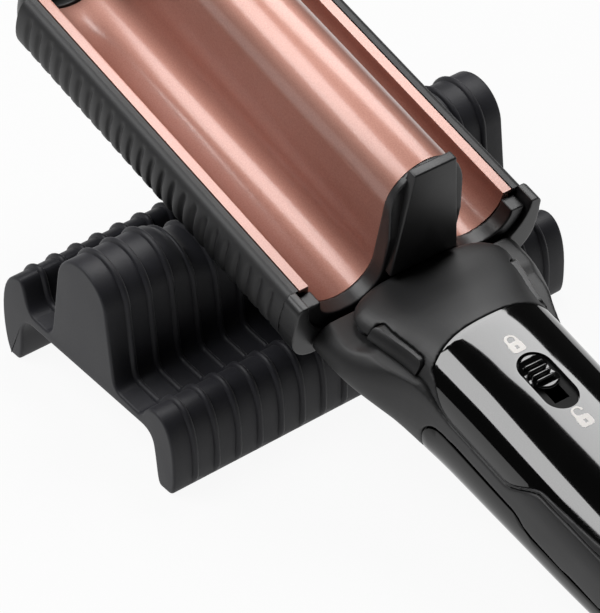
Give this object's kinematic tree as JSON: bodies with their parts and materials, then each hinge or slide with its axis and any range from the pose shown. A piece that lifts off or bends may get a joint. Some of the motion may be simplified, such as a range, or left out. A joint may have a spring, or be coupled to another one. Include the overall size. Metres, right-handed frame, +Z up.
{
  "type": "hair waver",
  "caption": "Electric hair waver with nested wave plates, hinged handle, lock slide and swivel cord gland, lying closed on a ribbed silicone rest.",
  "frame": {"origin": "on the floor, at the centre of the object's bounding box", "axes": "+X along the waver from the tip to the cord end, +Y across it, +Z up"},
  "size_m": [0.2886, 0.1276, 0.1051],
  "materials": {
    "silicone_rest": "matt silicone, dark charcoal, slightly blue",
    "silicone_trim": "matt black silicone",
    "matte_housing": "matt charcoal moulded plastic, fine grain",
    "matte_cap": "matt black moulded plastic",
    "gloss_cover": "piano black, polished",
    "rose_metal": "rose gold anodised metal with a fine sparkle",
    "plain_steel": "plain zinc plated steel",
    "ceramic": "unglazed alumina",
    "heater_film": "amber polyimide film",
    "circuit_board": "green solder mask",
    "lens_plastic": "milky light pipe"
  },
  "bodies": {
    "rest_stand": {"rest_stand": "silicone_rest"},
    "lower_arm": {"tray_housing": "matte_housing", "lower_heel_cap": "matte_cap", "lower_tip_cap": "matte_cap", "lower_plate": "rose_metal", "lower_heater": "ceramic", "heater_carrier": "ceramic", "thermal_fuse": "plain_steel", "lower_frame": "matte_housing", "lower_cover": "gloss_cover", "catch_plate": "plain_steel", "stop_bumper_left": "silicone_trim", "stop_bumper_right": "silicone_trim", "guide_tab_left": "matte_cap", "guide_tab_right": "matte_cap", "hinge_pin": "plain_steel", "opening_spring": "plain_steel", "power_board": "circuit_board", "lower_screw_1": "plain_steel", "lower_screw_2": "plain_steel"},
    "upper_arm": {"upper_frame": "matte_housing", "upper_cover": "gloss_cover", "upper_outer_plate": "rose_metal", "upper_heater_film": "heater_film", "upper_inner_plate": "rose_metal", "upper_heel_cap": "matte_cap", "upper_tip_cap": "matte_cap", "control_board": "circuit_board", "indicator_lens": "lens_plastic", "upper_screw_1": "plain_steel", "upper_screw_2": "plain_steel"},
    "lock_slide": {"lock_slide": "matte_cap", "latch_hook": "plain_steel"},
    "minus_button": {"minus_button": "matte_cap"},
    "plus_button": {"plus_button": "matte_cap"},
    "power_button": {"power_button": "matte_cap"},
    "swivel_gland": {"swivel_gland": "matte_cap"}
  },
  "joints": [
    {"name": "lift_off_rest", "type": "slide", "parent": "rest_stand", "child": "lower_arm", "axis": [0, 0, 1], "range_m": [0, 0.15]},
    {"name": "jaw_hinge", "type": "hinge", "parent": "lower_arm", "child": "upper_arm", "pos_m": [0.11878, 0.0023, 0.02092], "axis": [0, 1, 0], "range_deg": [0, 22]},
    {"name": "lock_slide", "type": "slide", "parent": "upper_arm", "child": "lock_slide", "axis": [0.981, 0, -0.1942], "range_m": [0, 0.0065]},
    {"name": "minus_press", "type": "slide", "parent": "upper_arm", "child": "minus_button", "axis": [-0.1942, 0, -0.981], "range_m": [0, 0.0005], "stiffness_N_per_m": 1500, "springref_m": -0.0004},
    {"name": "plus_press", "type": "slide", "parent": "upper_arm", "child": "plus_button", "axis": [-0.1942, 0, -0.981], "range_m": [0, 0.0005], "stiffness_N_per_m": 1500, "springref_m": -0.0004},
    {"name": "power_press", "type": "slide", "parent": "upper_arm", "child": "power_button", "axis": [-0.1942, 0, -0.981], "range_m": [0, 0.0005], "stiffness_N_per_m": 1500, "springref_m": -0.0004},
    {"name": "cord_swivel", "type": "hinge", "parent": "lower_arm", "child": "swivel_gland", "pos_m": [0.13488, 0.0023, 0.01212], "axis": [0.981, 0, -0.1942], "continuous": true}
  ]
}
